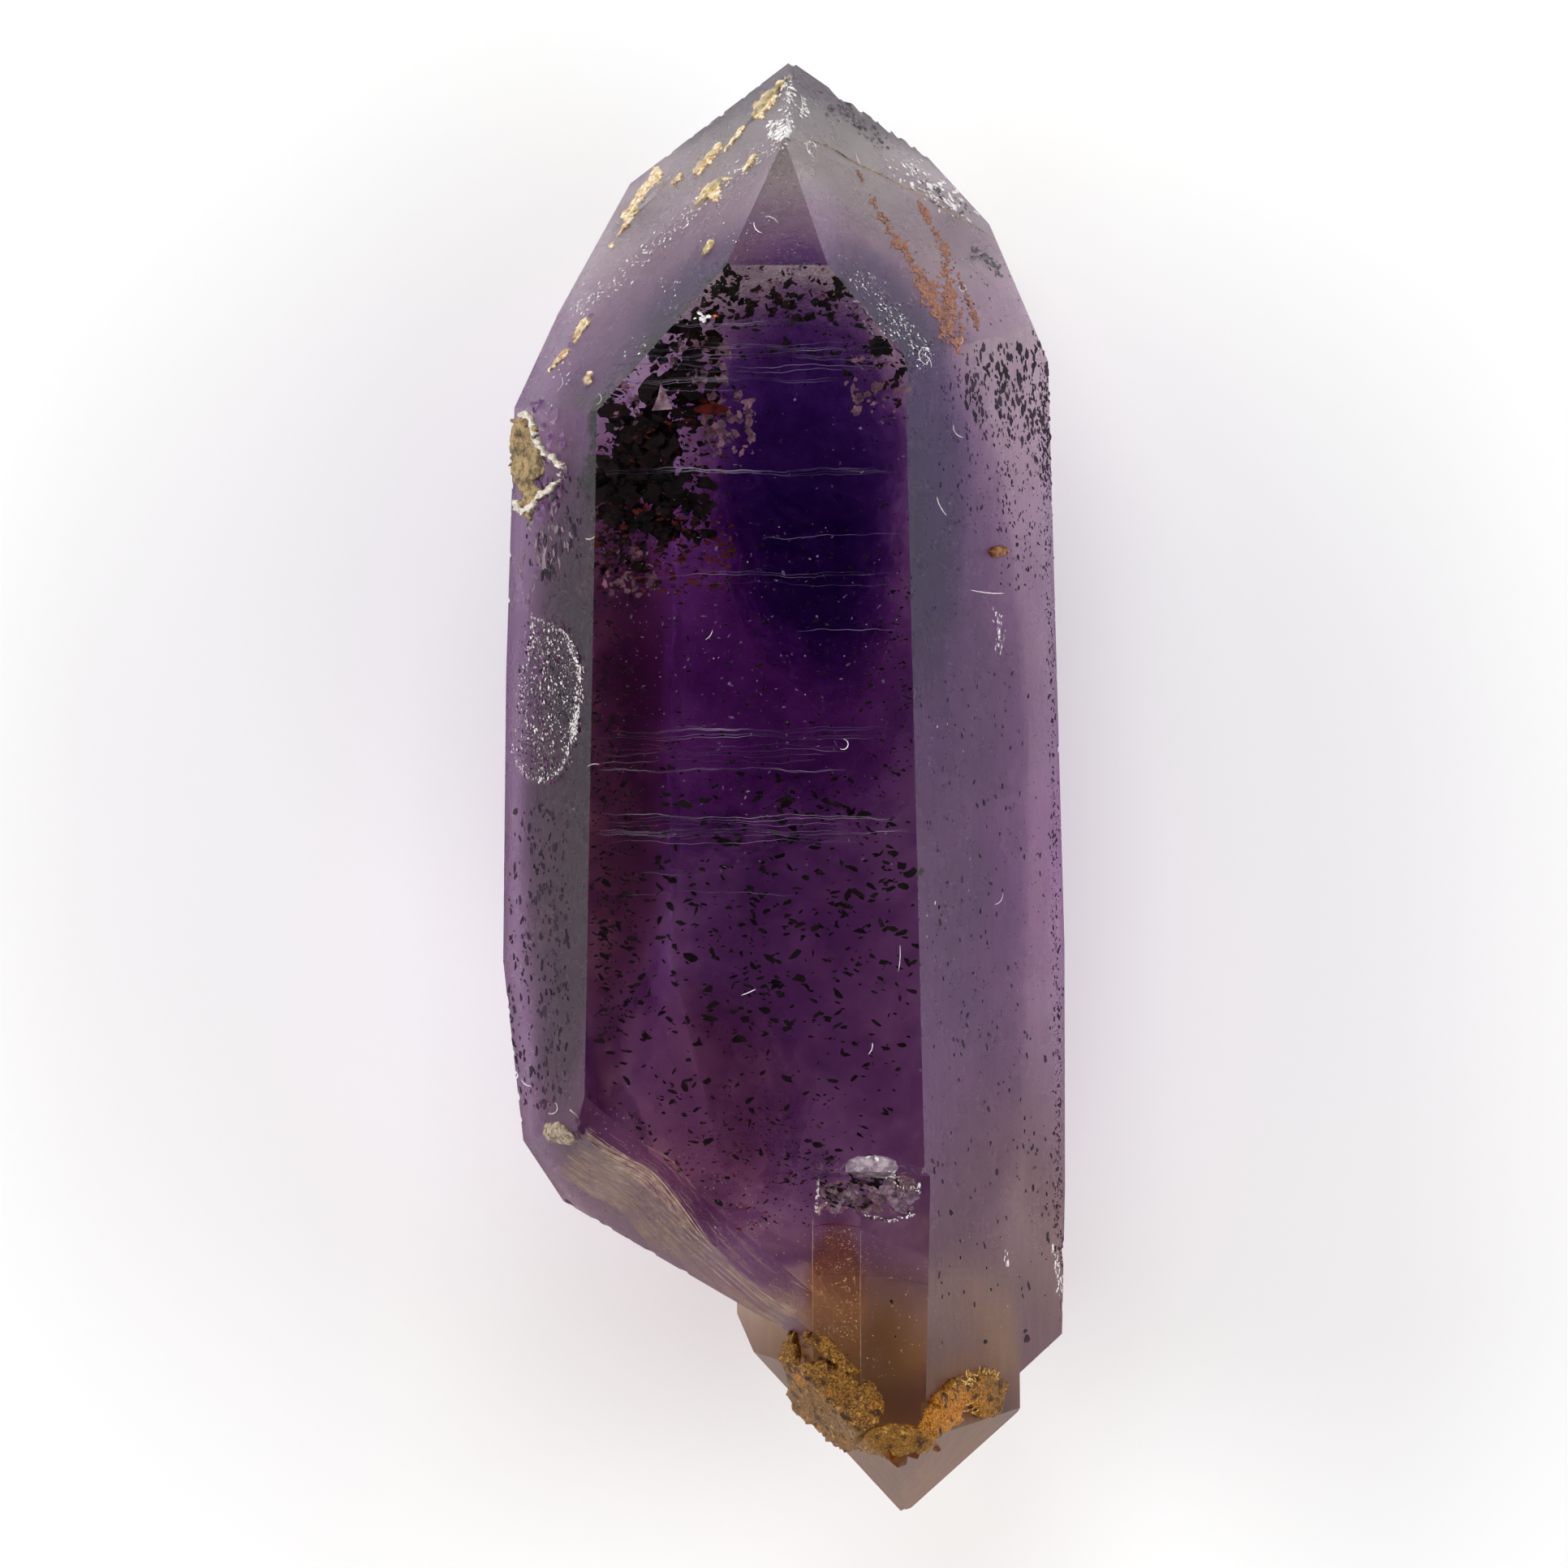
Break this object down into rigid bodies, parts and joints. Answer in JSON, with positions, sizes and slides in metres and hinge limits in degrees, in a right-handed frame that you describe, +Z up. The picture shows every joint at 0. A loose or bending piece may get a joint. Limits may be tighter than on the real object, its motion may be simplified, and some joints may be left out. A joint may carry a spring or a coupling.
{
  "type": "double terminated amethyst point",
  "caption": "Violet quartz crystal with a six sided prism, pointed at both ends, with dark inclusions and thin ochre crusts.",
  "frame": {"origin": "centre of the bounding box in plan, on the surface that the crystal lies on", "axes": "+Y along the crystal to its upper end as pictured, +Z up out of the broad front face, +X to the right in the picture"},
  "size_m": [0.0175, 0.045, 0.0136],
  "materials": {
    "amethyst": "natural polished crystal faces"
  },
  "bodies": {
    "root": {"amethyst_point": "amethyst"}
  },
  "joints": []
}
